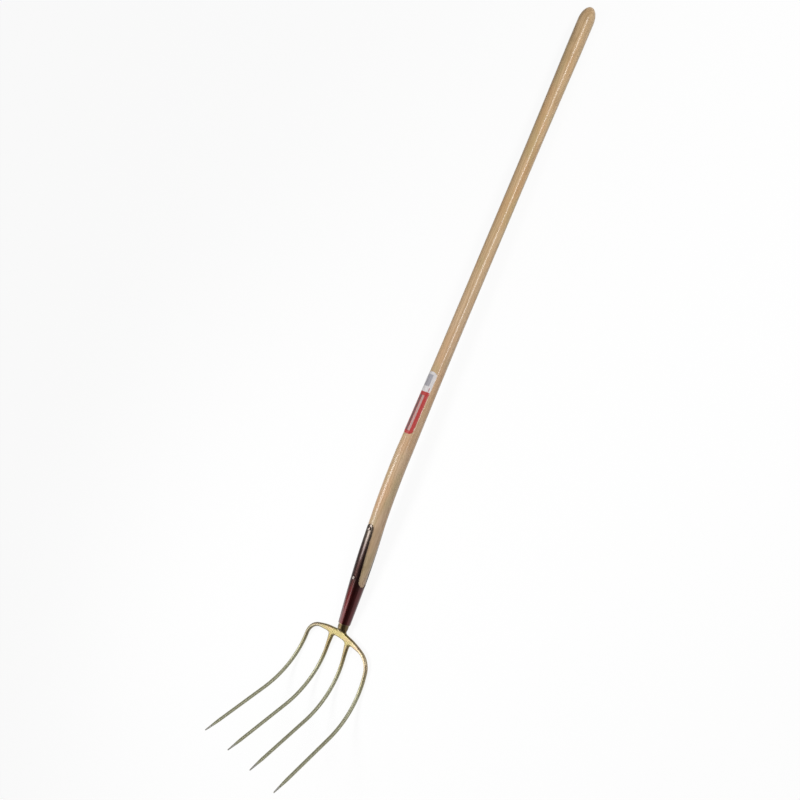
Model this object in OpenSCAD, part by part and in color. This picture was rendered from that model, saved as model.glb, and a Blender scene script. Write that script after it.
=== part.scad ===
// Long-handled manure fork: a forged four-tine head on a steam-bent ash handle,
// held by a socket with two long straps and two rivets through the wood.
// It is drawn upright, socket axis on Z and hollow side of the tines towards +X,
// then laid on its back so that the tines and the grip end touch the ground.

/* [Handle] */
// Diameter of the handle through the bend and under the straps
handle_d = 34.6; // [31:0.2:40]
// Diameter of the slim middle of the handle
waist_d = 29.8; // [25:0.2:34]
// Diameter of the thick grip end
grip_d = 34.4; // [30:0.2:40]
// Length over which the handle slims down above the bend
taper_len = 330; // [220:5:420]
// Length of the slim middle
waist_len = 219; // [100:1:400]
// Length over which the handle swells to the grip end
swell_len = 338; // [150:1:420]
// Length of the parallel grip end below its dome
grip_len = 61; // [40:1:100]
// Length of the bullet-shaped dome on the grip end
dome_len = 31; // [15:1:45]
// Angle of the steam bend
bend_angle = 7.4; // [4:0.1:11]
// Radius of the steam bend
bend_r = 1305; // [1000:5:1800]

/* [Socket] */
// Height of the socket's lower lip above the line of the shoulders
lip_height = 31; // [27:0.5:36]
// Outside diameter of the lower lip
lip_d = 25.8; // [23:0.2:28]
// Height of the swelling part of the socket
ogive_len = 169; // [150:1:190]
// Length of the parallel stretch between the swelling part and the bend
collar_len = 43; // [20:1:60]
// Wall of the socket and of its straps
socket_t = 1.5; // [1:0.1:2.5]
// Height of the closed part of the socket, up to the lowest point of the side gaps
closed_len = 86; // [74:1:96]
// Length of the straps above the lowest point of the side gaps
strap_len = 132; // [110:1:155]
// Width of a strap at its root
strap_root_w = 24.8; // [22:0.2:27]
// Width of a strap at its rounded end
strap_end_w = 18; // [15:0.2:21]

/* [Bow and tines] */
// Height of the bow where the neck meets it
bow_h = 15; // [12:0.2:18]
// Rise of the middle of the bow above the line of the shoulders
bow_rise = 6.7; // [5.2:0.1:9]
// Distance of the shoulders' centres from the middle of the bow
bow_half = 54; // [46:0.5:62]
// Radius of the shoulders that turn the bow into the outer tines
shoulder_r = 37; // [28:0.5:44]
// Straight run of the tines below the shoulders
shoulder_run = 2; // [1:0.5:12]
// Diameter of the tines through the shoulders and the sweep, and thickness of the bow
tine_d = 8.4; // [7.4:0.1:9]
// Diameter of the tines where the point begins
tine_end_d = 7; // [5.5:0.1:7.4]
// Radius of the forward sweep of the tines
sweep_r = 152; // [120:1:200]
// Angle of the forward sweep of the tines
sweep_angle = 54.6; // [45:0.2:62]
// Straight length of the tines after the sweep, with the point
tail_len = 145; // [110:1:180]
// Length of the tapered points
point_len = 34; // [24:1:45]
// Diameter of the blunt end of the points
point_d = 2.4; // [1.6:0.1:3.5]
// Distance of the inner tines from the middle of the bow
inner_y = 24.2; // [20:0.2:28]
// Width of the inner tines at their roots
root_w = 13.4; // [11:0.2:16]
// Splay of the inner tines
inner_splay = 2.8; // [0:0.1:5]
// Splay of the outer tines
outer_splay = 5.7; // [2:0.1:9]
// Angle by which the head hangs behind the line of the socket
head_drop = 1.2; // [0:0.1:3]
// Radius of the forged fillets beside the neck and the inner tines
web_r = 5; // [3:0.5:7]

/* [Tang] */
// Length of the neck's plug inside the socket
plug_len = 14; // [8:0.5:20]
// Diameter of the tang at the plug
tang_d = 11; // [8:0.2:13]
// Diameter of the tang at its end
tang_end_d = 7; // [5:0.2:8]
// Length of the tang in the wood
tang_len = 62; // [50:1:70]

/* [Rivets] */
// Diameter of the rivets' shanks
rivet_d = 5; // [4:0.1:6]
// Diameter of the rivets' heads
rivet_head_d = 9; // [8:0.1:11]
// Height of the rivets' heads above the straps
rivet_head_h = 1.8; // [1.2:0.1:2.5]
// Height of the straight edge of the rivets' heads
rivet_edge = 0.5; // [0.2:0.1:0.8]
// Height of the lower rivet above the lowest point of the side gaps
lower_rivet_up = 16; // [14:0.5:26]
// Distance of the upper rivet from the end of the strap
upper_rivet_in = 9.5; // [8:0.5:20]

/* [Label] */
// Length of the label
label_len = 135; // [100:1:170]
// Width of the label across the handle
label_w = 22.5; // [18:0.5:26]
// Thickness of the label
label_t = 0.3; // [0.2:0.05:0.6]
// Corner radius of the label
label_corner_r = 8; // [4:0.5:9]
// Distance of the label from the end of the bend
label_up = 33; // [2:1:60]

/* [Hidden] */
$fn = 96;
// Play between the wood and the steel of the socket
wood_play = 0.1;
// Play between the plug and the socket, and between the tang and its hole
plug_play = 0.1;
// Play between the rivets and their holes
rivet_play = 0.1;
// Play between the label and the wood
label_play = 0.05;
// Overrun of cuts
over = 1;
// Length by which a straight stretch runs on into the curve that it meets
tuck = 0.5;
// Step between a straight stretch and the curve that it runs into
seam = 0.04;
// Power of the socket's swelling: 1 is a cone and 2 a parabola
ogive_power = 1.5;
// Share of the neck's height at which its flats have run out
flat_share = 0.7;
// Share of the bow's thickness that the fillets fill
web_share = 0.6;
// Bands along each swelling or tapering stretch of the handle and the socket
bands = 14;
// Bands of the dome and of the blunt points
round_bands = 9;

// Socket and handle heights on the socket axis
ogive_top = lip_height + ogive_len;
bend_start = ogive_top + collar_len;
bend_len = bend_r * bend_angle * PI / 180;
gap_low = lip_height + closed_len;
strap_top = gap_low + strap_len;
plug_top = lip_height + plug_len;
socket_r = handle_d / 2 + wood_play + socket_t;
// Angles along the bend that the straps, and the bore inside them, reach up to
strap_turn = (strap_top + over - bend_start) / bend_r * 180 / PI;
bore_turn = (strap_top + over * 2 - bend_start) / bend_r * 180 / PI;

// Places on the straight upper handle, counted from the end of the bend
waist_at = taper_len;
swell_at = waist_at + waist_len;
grip_at = swell_at + swell_len;
dome_at = grip_at + grip_len;
handle_end = dome_at + dome_len;

// Outside radius of the socket at a height on its axis: full at the top, drawn in to the lip
function ogive_r(h) = socket_r - (socket_r - lip_d / 2) * pow((ogive_top - h) / ogive_len, ogive_power);
function bore_r(h) = ogive_r(h) - socket_t;

function heights(a, b, n) = [for (i = [0 : n]) a + (b - a) * i / n];

// Radius of the straight upper handle below its dome
function grip_r(h) =
    h < waist_at ? waist_d / 2 + (handle_d - waist_d) / 2 * pow(1 - h / taper_len, 2)
  : h < swell_at ? waist_d / 2
  : h < grip_at ? waist_d / 2 + (grip_d - waist_d) / 2 * pow((h - swell_at) / swell_len, 2)
  : grip_d / 2;

// Depth at which the tines begin their sweep, below the middle of the bow
sweep_at = shoulder_r * (1 - sin(outer_splay)) + shoulder_run;
outer_y = bow_half + shoulder_r * cos(outer_splay);
outer_z = -shoulder_r * (1 - sin(outer_splay));
outer_run = shoulder_run / cos(outer_splay);
inner_run = sweep_at / cos(inner_splay);
// Tail of the outer tines, longer by what brings all the points to one line
tine_reach = sweep_r * sin(sweep_angle) + tail_len * cos(sweep_angle);
outer_tail = tail_len + tine_reach * (cos(inner_splay) / cos(outer_splay) - 1) / cos(sweep_angle);

// The bow's upper and lower rounded edges each follow an arch that runs into the shoulders
top_rise = bow_rise + (bow_h - tine_d) / 2;
low_rise = bow_rise - (bow_h - tine_d) / 2;
// Radius of an arch of a given rise, and its angle from the level where it meets a shoulder
function arch_r(rise) = (pow(bow_half, 2) + pow(rise, 2)) / (2 * rise) + shoulder_r;
function arch_end(rise) = atan2(arch_r(rise) - shoulder_r - rise, bow_half);
// Height of an arch at a distance from the middle of the bow, off by some way outwards
function arch_z(rise, off, y) = rise - arch_r(rise) + sqrt(pow(arch_r(rise) + off, 2) - pow(y, 2));
// Angle on a shoulder by which it runs on into the bow
tuck_turn = tuck / shoulder_r * 180 / PI;

// Rest on the ground: a line under the grip end touches the underside of the tines' sweep
function turned(p, a) = [p[0] * cos(a) + p[1] * sin(a), -p[0] * sin(a) + p[1] * cos(a)];
sweep_mid = turned([sweep_r, -sweep_at], head_drop);
butt_turn = turned([bend_r - grip_d / 2, dome_at], -bend_angle);
butt = [butt_turn[0] - bend_r, butt_turn[1] + bend_start];
butt_gap = [butt[1] - sweep_mid[1], butt[0] - sweep_mid[0]];
rest_angle = atan2(butt_gap[1], butt_gap[0]) + asin((sweep_r + tine_d / 2) / norm(butt_gap));
function on_ground(p) = [p[1] * cos(rest_angle) + p[0] * sin(rest_angle),
                         -p[1] * sin(rest_angle) + p[0] * cos(rest_angle)];
end_turn = turned([bend_r, handle_end], -bend_angle);
end_x = on_ground([end_turn[0] - bend_r, end_turn[1] + bend_start])[0];
tip_mid = tail_len - point_d / 2;
tip_front = sweep_r * (1 - cos(sweep_angle)) + tip_mid * sin(sweep_angle);
tip_depth = sweep_at + (sweep_r * sin(sweep_angle) + tip_mid * cos(sweep_angle)) * cos(inner_splay);
tip_x = on_ground(turned([tip_front, -tip_depth], head_drop))[0] - point_d / 2;
lift = -on_ground(butt)[1];

// Lays the upright fork on its back, level on the ground, over the middle of its length
module laid() {
    translate([-(end_x + tip_x) / 2, 0, lift])
        rotate([0, rest_angle, 0])
            rotate(a = 180, v = [1, 0, 1])
                children();
}

// Moves a shape drawn round Z at the start of the bend to an angle along the bend
module on_bend(a) {
    translate([-bend_r, 0, bend_start])
        rotate([0, -a, 0])
            translate([bend_r, 0, 0])
                children();
}

// Sweeps a flat section along the bend through an angle
module bent(a) {
    translate([-bend_r, 0, bend_start])
        rotate([90, 0, 0])
            rotate_extrude(angle = a, $fn = 720)
                translate([bend_r, 0])
                    children();
}

// Extrudes an outline drawn across (first axis) and up (second axis) through the fork from front to back
module front_cut(depth) {
    rotate([90, 0, 90])
        linear_extrude(height = depth, center = true)
            children();
}

// Extrudes an outline drawn forward (first axis) and up (second axis) through the fork from side to side
module side_cut(depth) {
    rotate([90, 0, 0])
        linear_extrude(height = depth, center = true)
            children();
}

// Places a shape drawn round Z at a height on the handle's axis, straight or on the bend
module at_height(h) {
    if (h > bend_start)
        on_bend((h - bend_start) / bend_r * 180 / PI)
            children();
    else
        translate([0, 0, h])
            children();
}

// Solid of the socket's outside, with the straps' height but no gaps
module socket_body() {
    tall = heights(lip_height, ogive_top, bands);
    straight_top = min(bend_start, strap_top + over);
    rotate([0, 0, 90])
        rotate_extrude()
            polygon(concat(
                [[0, lip_height]],
                [for (h = tall) [ogive_r(h), h]],
                [[socket_r, straight_top], [0, straight_top]]));
    if (strap_turn > 0)
        bent(strap_turn)
            rotate(90)
                circle(r = socket_r);
}

// Outline of a strap from the front: tapered, with a round end
module strap_outline() {
    round_at = strap_top - strap_end_w / 2;
    polygon([[-strap_root_w / 2, gap_low - over], [strap_root_w / 2, gap_low - over],
             [strap_end_w / 2, round_at], [-strap_end_w / 2, round_at]]);
    translate([0, round_at])
        circle(d = strap_end_w);
}

// The open sides between the two straps, with a round bottom
module strap_gaps() {
    root_r = ogive_r(gap_low);
    gap_r = sqrt(pow(root_r, 2) - pow(strap_root_w / 2, 2));
    high = strap_top + over * 2;
    intersection() {
        front_cut(socket_r * 3)
            difference() {
                translate([-socket_r * 2, gap_low - over])
                    square([socket_r * 4, high - gap_low + over]);
                strap_outline();
            }
        side_cut(socket_r * 4) {
            translate([0, gap_low + gap_r])
                circle(r = gap_r);
            translate([-socket_r * 2, gap_low + gap_r])
                square([socket_r * 4, high - gap_low - gap_r]);
        }
    }
}

// Round bar across the fork at a height on the socket axis, from front to back
module cross_bar(d) {
    rotate([0, 90, 0])
        cylinder(d = d, h = socket_r * 4, center = true);
}

module at_lower_rivet() {
    at_height(gap_low + lower_rivet_up)
        children();
}

module at_upper_rivet() {
    at_height(strap_top - upper_rivet_in)
        children();
}

module rivet_holes() {
    at_lower_rivet()
        cross_bar(rivet_d + rivet_play * 2);
    at_upper_rivet()
        cross_bar(rivet_d + rivet_play * 2);
}

// Tang of the head, or its hole with some play
module tang(play) {
    translate([0, 0, plug_top])
        cylinder(d1 = tang_d + play * 2, d2 = tang_end_d + play * 2, h = tang_len + play);
}

// Handle: pointed foot in the socket, bend, slim middle, thick grip end with a dome
module handle() {
    foot = heights(plug_top, ogive_top, bands);
    taper = heights(0, waist_at, bands);
    swell = heights(swell_at, grip_at, bands);
    dome = [for (i = [1 : round_bands]) i * 90 / round_bands];
    color("#cda778")
    laid()
    difference() {
        union() {
            rotate_extrude()
                polygon(concat(
                    [[0, plug_top]],
                    [for (h = foot) [bore_r(h) - wood_play, h]],
                    [[handle_d / 2 + seam, bend_start + tuck], [0, bend_start + tuck]]));
            bent(bend_angle)
                circle(d = handle_d);
            on_bend(bend_angle)
                rotate_extrude()
                    polygon(concat(
                        [[0, -tuck], [handle_d / 2 + seam, -tuck], [handle_d / 2 + seam, 0]],
                        [for (h = taper) if (h > 0) [grip_r(h), h]],
                        [for (h = swell) [grip_r(h), h]],
                        [[grip_d / 2, dome_at]],
                        [for (a = dome) [grip_d / 2 * cos(a), dome_at + dome_len * sin(a)]]));
        }
        tang(plug_play);
        rivet_holes();
    }
}

// Straight end of a tine, tapered to a blunt point
module tine_tail(length) {
    point_at = length - point_len;
    blunt = [for (i = [0 : round_bands]) i * 90 / round_bands];
    rotate([180, 0, 0])
        rotate_extrude()
            polygon(concat(
                [[0, -tuck], [tine_d / 2, -tuck], [tine_d / 2, 0], [tine_end_d / 2, point_at]],
                [for (a = blunt) [point_d / 2 * cos(a), length + point_d / 2 * (sin(a) - 1)]]));
}

// Swept part of a tine and its straight end, from the depth where the sweep begins
module tine_sweep(length) {
    translate([sweep_r, 0, 0]) {
        rotate([90, 0, 0])
            rotate([0, 0, 180])
                rotate_extrude(angle = sweep_angle, $fn = 240)
                    translate([sweep_r, 0])
                        circle(d = tine_d - seam * 2);
        rotate([0, -sweep_angle, 0])
            translate([-sweep_r, 0, 0])
                tine_tail(length);
    }
}

// Concave fillet in the corner between a piece of the bow and what stands on it
module web(y, z, across, up) {
    front_cut(tine_d * web_share)
        translate([y, z])
            scale([across, up])
                difference() {
                    translate([-web_r / 2, -web_r / 2])
                        square(web_r * 3 / 2);
                    translate([web_r, web_r])
                        circle(r = web_r);
                }
}

// Sweeps a section, drawn outwards and forward, along an arch of the bow up to an end angle
module arch(rise, end) {
    translate([0, 0, rise - arch_r(rise)])
        rotate([90, 0, 90])
            rotate([0, 0, end])
                rotate_extrude(angle = 180 - end * 2, $fn = 240)
                    translate([arch_r(rise), 0])
                        children();
}

// Bow: as thick as the tines, higher in the middle, with a round upper and a round lower edge
module bow() {
    low_t = tine_d + seam * 2;
    low_end = acos((bow_half + shoulder_r) / arch_r(low_rise));
    intersection() {
        arch(top_rise, arch_end(top_rise)) {
            circle(d = tine_d);
            translate([-bow_h, -tine_d / 2])
                square([bow_h, tine_d]);
        }
        arch(low_rise, low_end) {
            circle(d = low_t);
            translate([0, -low_t / 2])
                square([bow_h, low_t]);
        }
    }
}

// Forged head: neck, plug and tang, arched bow, shoulders and four tines
module fork_head() {
    neck_r = bore_r(lip_height) - plug_play;
    neck_len = lip_height - bow_rise;
    flat_top = bow_rise + neck_len * flat_share;
    inner_in = inner_y - root_w / 2;
    inner_out = inner_y + root_w / 2;
    color("#b3a272")
    laid() {
        // Neck with flats that run down to the bow, and the plug in the socket
        intersection() {
            translate([0, 0, bow_rise])
                cylinder(r = neck_r, h = neck_len);
            side_cut(neck_r * 4)
                polygon([[-tine_d / 4, bow_rise], [tine_d / 4, bow_rise],
                         [neck_r, flat_top], [neck_r + over, lip_height + over],
                         [-neck_r - over, lip_height + over], [-neck_r, flat_top]]);
        }
        translate([0, 0, lip_height])
            cylinder(r1 = neck_r, r2 = bore_r(plug_top) - plug_play, h = plug_len);
        tang(0);
        rotate([0, head_drop, 0]) {
            bow();
            // Wide roots of the inner tines, no thicker than the bow
            intersection() {
                for (s = [-1, 1])
                    translate([0, inner_y * s, 0])
                        rotate([180 + inner_splay * s, 0, 0])
                            translate([0, 0, -bow_rise])
                                cylinder(d1 = root_w, d2 = tine_d, h = inner_run + bow_rise + tuck);
                cube([tine_d + seam * 4, bow_half * 4, sweep_at * 4], center = true);
            }
            for (s = [-1, 1]) {
                // Fillets of the neck and of the inner roots
                web(s * (neck_r - over / 2), arch_z(top_rise, tine_d / 2, neck_r) - over, s, 1);
                web(s * (inner_in + over), arch_z(low_rise, -tine_d / 2, inner_in) + over, -s, -1);
                web(s * (inner_out - over), arch_z(low_rise, -tine_d / 2, inner_out) + over, s, -1);
                // Inner tine
                translate([0, inner_y * s, 0])
                    rotate([inner_splay * s, 0, 0])
                        translate([0, 0, -inner_run])
                            tine_sweep(tail_len);
                // Shoulder and outer tine
                scale([1, s, 1]) {
                    translate([0, bow_half, -shoulder_r])
                        rotate([90, 0, 90])
                            rotate([0, 0, outer_splay])
                                rotate_extrude(angle = arch_end(low_rise) + tuck_turn - outer_splay, $fn = 240)
                                    translate([shoulder_r, 0])
                                        circle(d = tine_d - seam * 2);
                    translate([0, outer_y, outer_z])
                        rotate([outer_splay, 0, 0]) {
                            translate([0, 0, -outer_run - tuck])
                                cylinder(d = tine_d, h = outer_run + tuck * 2);
                            translate([0, 0, -outer_run])
                                tine_sweep(outer_tail);
                        }
                }
            }
        }
    }
}

// Socket with a front and a back strap, drilled for the rivets
module strapped_socket() {
    color("#35100f")
    laid()
    difference() {
        socket_body();
        translate([0, 0, -over])
            cylinder(r = bore_r(lip_height), h = lip_height + over * 2);
        rotate_extrude()
            polygon(concat(
                [[0, lip_height]],
                [for (h = heights(lip_height, ogive_top, bands)) [bore_r(h), h]],
                [[socket_r - socket_t, bend_start], [0, bend_start]]));
        if (bore_turn > 0)
            bent(bore_turn)
                circle(r = socket_r - socket_t);
        strap_gaps();
        rivet_holes();
    }
}

// Shank of a rivet through both straps
module shank(reach) {
    rotate([0, 90, 0])
        cylinder(d = rivet_d, h = reach * 2 + rivet_head_h, center = true);
}

// Low domes of a rivet, before they are seated on the straps
module rivet_domes(reach) {
    cap = rivet_head_h - rivet_edge;
    dome_r = (pow(rivet_head_d / 2, 2) + pow(cap, 2)) / (2 * cap);
    for (s = [-1, 1])
        intersection() {
            translate([s * (reach + rivet_head_h - dome_r), 0, 0])
                rotate([0, 0, 90])
                    sphere(r = dome_r);
            rotate([0, s * 90, 0])
                cylinder(d = rivet_head_d, h = reach * 2);
        }
}

// Rivet through the root of the straps
module lower_rivet() {
    reach = ogive_r(gap_low + lower_rivet_up);
    color("#4a1c1c")
    laid() {
        at_lower_rivet()
            shank(reach);
        difference() {
            at_lower_rivet()
                rivet_domes(reach);
            socket_body();
        }
    }
}

// Rivet through the ends of the straps
module upper_rivet() {
    color("#4a1c1c")
    laid() {
        at_upper_rivet()
            shank(socket_r);
        difference() {
            at_upper_rivet()
                rivet_domes(socket_r);
            socket_body();
        }
    }
}

// Label on the front of the handle, just above the bend
module label() {
    label_top = label_up + label_len;
    rows = heights(label_up, label_top, bands);
    color("#c3342f")
    laid()
    on_bend(bend_angle)
    intersection() {
        rotate([0, 0, -90])
            rotate_extrude(angle = 180)
                polygon(concat(
                    [for (h = rows) [grip_r(h) + label_play, h]],
                    [for (i = [bands : -1 : 0]) [grip_r(rows[i]) + label_play + label_t, rows[i]]]));
        front_cut(handle_d * 2)
            translate([0, label_up + label_len / 2]) {
                square([label_w, label_len - label_corner_r * 2], center = true);
                square([label_w - label_corner_r * 2, label_len], center = true);
                for (a = [-1, 1], b = [-1, 1])
                    translate([a * (label_w / 2 - label_corner_r), b * (label_len / 2 - label_corner_r)])
                        circle(r = label_corner_r);
            }
    }
}

handle();
fork_head();
strapped_socket();
lower_rivet();
upper_rivet();
label();
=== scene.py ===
import math

import bmesh
import bpy
import numpy as np
import openvdb
from mathutils import Matrix


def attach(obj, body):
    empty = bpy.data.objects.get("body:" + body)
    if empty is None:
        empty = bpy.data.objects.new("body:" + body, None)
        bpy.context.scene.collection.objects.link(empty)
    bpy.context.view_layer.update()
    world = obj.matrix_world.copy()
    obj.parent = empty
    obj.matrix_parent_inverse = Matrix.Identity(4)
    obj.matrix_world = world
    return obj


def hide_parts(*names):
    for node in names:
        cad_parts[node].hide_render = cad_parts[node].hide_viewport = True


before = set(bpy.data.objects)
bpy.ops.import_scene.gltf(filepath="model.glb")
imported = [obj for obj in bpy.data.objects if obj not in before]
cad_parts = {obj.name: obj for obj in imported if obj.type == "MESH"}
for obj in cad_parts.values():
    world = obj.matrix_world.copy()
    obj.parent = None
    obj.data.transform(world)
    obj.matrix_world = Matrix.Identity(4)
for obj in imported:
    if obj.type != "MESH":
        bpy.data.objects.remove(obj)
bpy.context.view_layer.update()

# Sizes of the part, in millimetres, in the upright fork's frame: origin at the middle of the bow,
# z up the socket's axis, x to the hollow side of the tines, y across
HANDLE_D, WAIST_D, GRIP_D = 34.6, 29.8, 34.4
TAPER_LEN, WAIST_LEN, SWELL_LEN, GRIP_LEN, DOME_LEN = 330, 219, 338, 61, 31
BEND, BEND_R = math.radians(7.4), 1305
LIP, LIP_D, OGIVE_LEN, OGIVE_POWER, COLLAR_LEN, SOCKET_T = 31, 25.8, 169, 1.5, 43, 1.5
CLOSED_LEN, STRAP_LEN, STRAP_ROOT_W, STRAP_END_W = 86, 132, 24.8, 18
BOW_H, BOW_RISE, BOW_HALF, SHOULDER_R, SHOULDER_RUN = 15, 6.7, 54, 37, 2
TINE_D, TINE_END_D, POINT_LEN, POINT_D = 8.5, 6.9, 34, 2.4
SWEEP_R, SWEEP, TAIL_LEN = 152, math.radians(54.6), 145
INNER_Y, ROOT_W, ROOT_LEN = 24.2, 14.6, 40
INNER_SPLAY, OUTER_SPLAY, HEAD_DROP = math.radians(2.8), math.radians(5.7), math.radians(1.2)
PLUG_LEN, WOOD_PLAY, PLUG_PLAY = 14, 0.1, 0.1
RIVET_HEAD_D, RIVET_HEAD_H, RIVET_D, LOWER_RIVET_UP, UPPER_RIVET_IN = 9, 1.8, 5, 16, 9.5
LABEL_LEN, LABEL_W, LABEL_T, LABEL_CORNER_R, LABEL_UP, LABEL_PLAY = 135, 22.5, 0.3, 8, 33, 0.05

# Places that follow from the sizes
OGIVE_TOP = LIP + OGIVE_LEN
BEND_START = OGIVE_TOP + COLLAR_LEN
BEND_LEN = BEND_R * BEND
STRAIGHT = BEND_START + BEND_LEN
GAP_LOW = LIP + CLOSED_LEN
STRAP_TOP = GAP_LOW + STRAP_LEN
PLUG_TOP = LIP + PLUG_LEN
SOCKET_R = HANDLE_D / 2 + WOOD_PLAY + SOCKET_T
SWELL_AT = TAPER_LEN + WAIST_LEN
GRIP_AT = SWELL_AT + SWELL_LEN
DOME_AT = GRIP_AT + GRIP_LEN
HANDLE_END = DOME_AT + DOME_LEN
SWEEP_AT = SHOULDER_R * (1 - math.sin(OUTER_SPLAY)) + SHOULDER_RUN
OUTER_Y = BOW_HALF + SHOULDER_R * math.cos(OUTER_SPLAY)
OUTER_Z = -SHOULDER_R * (1 - math.sin(OUTER_SPLAY))
OUTER_RUN = SHOULDER_RUN / math.cos(OUTER_SPLAY)
INNER_RUN = SWEEP_AT / math.cos(INNER_SPLAY)
REACH = SWEEP_R * math.sin(SWEEP) + TAIL_LEN * math.cos(SWEEP)
LONGER = math.cos(INNER_SPLAY) / math.cos(OUTER_SPLAY) - 1
OUTER_TAIL = TAIL_LEN + REACH * LONGER / math.cos(SWEEP)
NECK_R = LIP_D / 2 - SOCKET_T - PLUG_PLAY

# How the upright fork is laid on its back in the row frame
REST_ANGLE, SHIFT, LIFT = math.radians(-5.93386), -562.289, 9.76363

# Forms that only the meshes have: lengths in millimetres, powers, and shares of a length
ROOT_FILLET, NECK_FILLET, FLUSH_SHARE = 6.5, 4.5, 0.1
POINT_POWER, ROOT_POWER, NECK_FULL_SHARE = 1.2, 1.7, 0.7
ROOT_SINK, PLUG_SHORT = 2, 2
STRAP_EDGE_R, RIVET_RIM = 0.45, 0.55
WOOD_DIP_SHARE, FORGE_DIP = 0.006, 0.05
FAR, NO_POINT, NO_EDGE = 50.0, 300.0, 20.0

# Fineness of the meshes
VOXEL, BLOCK, HEAD_LOW, HEAD_HIGH = 0.76, 18, (-16, -120, -300), (192, 120, 40)
FOOT_STEP, SHAFT_ROWS, DOME_ROWS, DOME_TURN, HANDLE_COLS = 5.0, 160, 22, 88, 96
CLOSED_ROWS, QUARTER_ROWS, STRAP_ROWS, STRAP_COLS = 40, 20, 46, 41
CROWN_ROWS, RIVET_COLS = 16, 40
CORNER_ROWS, LABEL_ROWS, LABEL_COLS = 14, 50, 31

# Studio: lengths in metres, and levels of light where 1 is white
FLOOR_HALF, FLOOR_Z = 15.0, -0.0003
FLOOR_BOUNCE, FLOOR_SEEN, FLOOR_GLOW, AMBIENT = 0.22, 0.9, 0.92, 0.33
# Brightness from the front horizon, over the top, to the horizon behind
SKY = ((0.0, 0.22), (0.14, 0.18), (0.25, 0.04), (0.56, 0.04), (0.66, 0.14), (1.0, 0.12))

# The photo's camera: place and axes found from the handle's outline and the tines
CAMERA_AT = (-0.045399, -1.178500, 1.502334)
CAMERA_RIGHT = (0.373641, -0.705316, -0.602430)
CAMERA_UP = (0.927528, 0.290481, 0.235184)
CAMERA_BACK = (0.009115, -0.646645, 0.762736)
CAMERA_LENS, CAMERA_SENSOR, PHOTO_PX, SHIFT_PX = 41.618, 36, 800, 0.5


def to_row(p):
    """Points of the upright fork, in millimetres, in the row frame, in metres."""
    p = np.asarray(p, float)
    c, s = math.cos(REST_ANGLE), math.sin(REST_ANGLE)
    return np.stack([p[..., 2] * c + p[..., 0] * s + SHIFT, -p[..., 1],
                     -p[..., 2] * s + p[..., 0] * c + LIFT], -1) / 1000


def to_upright(row):
    """Points of the row frame, in metres, in the upright fork's frame, in millimetres."""
    row = row * 1000 - np.array([SHIFT, 0, LIFT])
    c, s = math.cos(REST_ANGLE), math.sin(REST_ANGLE)
    return np.stack([row[:, 0] * s + row[:, 2] * c, -row[:, 1],
                     row[:, 0] * c - row[:, 2] * s], -1)


def beside_axis(s, side, front):
    """Points beside the handle's axis: s along it from the bow, side and front across it."""
    s, side, front = np.broadcast_arrays(*(np.asarray(v, float) for v in (s, side, front)))
    turn = np.clip((s - BEND_START) / BEND_R, 0, BEND)
    rest = np.maximum(s - STRAIGHT, 0)
    cx = -BEND_R * (1 - np.cos(turn)) - rest * np.sin(turn)
    cz = np.minimum(s, BEND_START) + BEND_R * np.sin(turn) + rest * np.cos(turn)
    return np.stack([cx + front * np.cos(turn), side, cz + front * np.sin(turn)], -1)


def ogive_r(s):
    """Outside radius of the socket."""
    low = np.clip((OGIVE_TOP - s) / OGIVE_LEN, 0, 1)
    return SOCKET_R - (SOCKET_R - LIP_D / 2) * low ** OGIVE_POWER


def blend(a, b, t):
    """Goes from a to b along half a wave."""
    return a + (b - a) * (1 - np.cos(np.pi * np.clip(t, 0, 1))) / 2


def handle_r(s):
    """Radius of the handle below its dome."""
    h = s - STRAIGHT
    taper = (HANDLE_D - WAIST_D) / 2 * np.clip(1 - h / TAPER_LEN, 0, 1) ** 2
    swell = (GRIP_D - WAIST_D) / 2 * np.clip((h - SWELL_AT) / SWELL_LEN, 0, 1) ** 2
    foot = ogive_r(s) - SOCKET_T - WOOD_PLAY
    return np.where(s < OGIVE_TOP, foot, WAIST_D / 2 + taper + swell)


GAP_R = math.sqrt(float(ogive_r(GAP_LOW)) ** 2 - (STRAP_ROOT_W / 2) ** 2)


# Mesh making
def add_object(name, data):
    obj = bpy.data.objects.new(name, data)
    bpy.context.scene.collection.objects.link(obj)
    return obj


def keep_marks(mesh, **marks):
    """Keeps values at the mesh's points, for the materials to read."""
    for mark, values in marks.items():
        values = np.asarray(values, float)
        kind, field = ("FLOAT_VECTOR", "vector") if values.ndim > 1 else ("FLOAT", "value")
        mesh.attributes.new(mark, kind, "POINT").data.foreach_set(field, values.ravel())


def piece(name, points, faces, node, slot, material, **marks):
    """A smooth mesh of upright points that stands for a CAD node."""
    mesh = bpy.data.meshes.new(name)
    mesh.from_pydata(to_row(points).tolist(), [], faces)
    keep_marks(mesh, **marks)
    mesh.shade_smooth()
    mesh.materials.append(material)
    obj = add_object(name, mesh)
    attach(obj, "root")
    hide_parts(node)
    return obj


def ring_faces(rows, cols):
    """Quads of a tube of rows of points."""
    i, j = np.meshgrid(np.arange(rows - 1), np.arange(cols), indexing="ij")
    k = (j + 1) % cols
    quads = np.stack([i * cols + j, i * cols + k, (i + 1) * cols + k, (i + 1) * cols + j], -1)
    return quads.reshape(-1, 4).tolist()


def sheet_faces(rows, cols, start=0, flip=False):
    """Quads of an open sheet of rows of points."""
    i, j = np.meshgrid(np.arange(rows - 1), np.arange(cols - 1), indexing="ij")
    a, b = i * cols + j, (i + 1) * cols + j
    quads = np.stack([a, a + 1, b + 1, b], -1).reshape(-1, 4)
    return (quads[:, ::-1 if flip else 1] + start).tolist()


def fan_faces(row, cols, hub, order):
    """Triangles from a ring of points to a hub, in order 1 or turned over by -1."""
    return [[row + j, row + (j + 1) % cols, hub][::order] for j in range(cols)]


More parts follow.
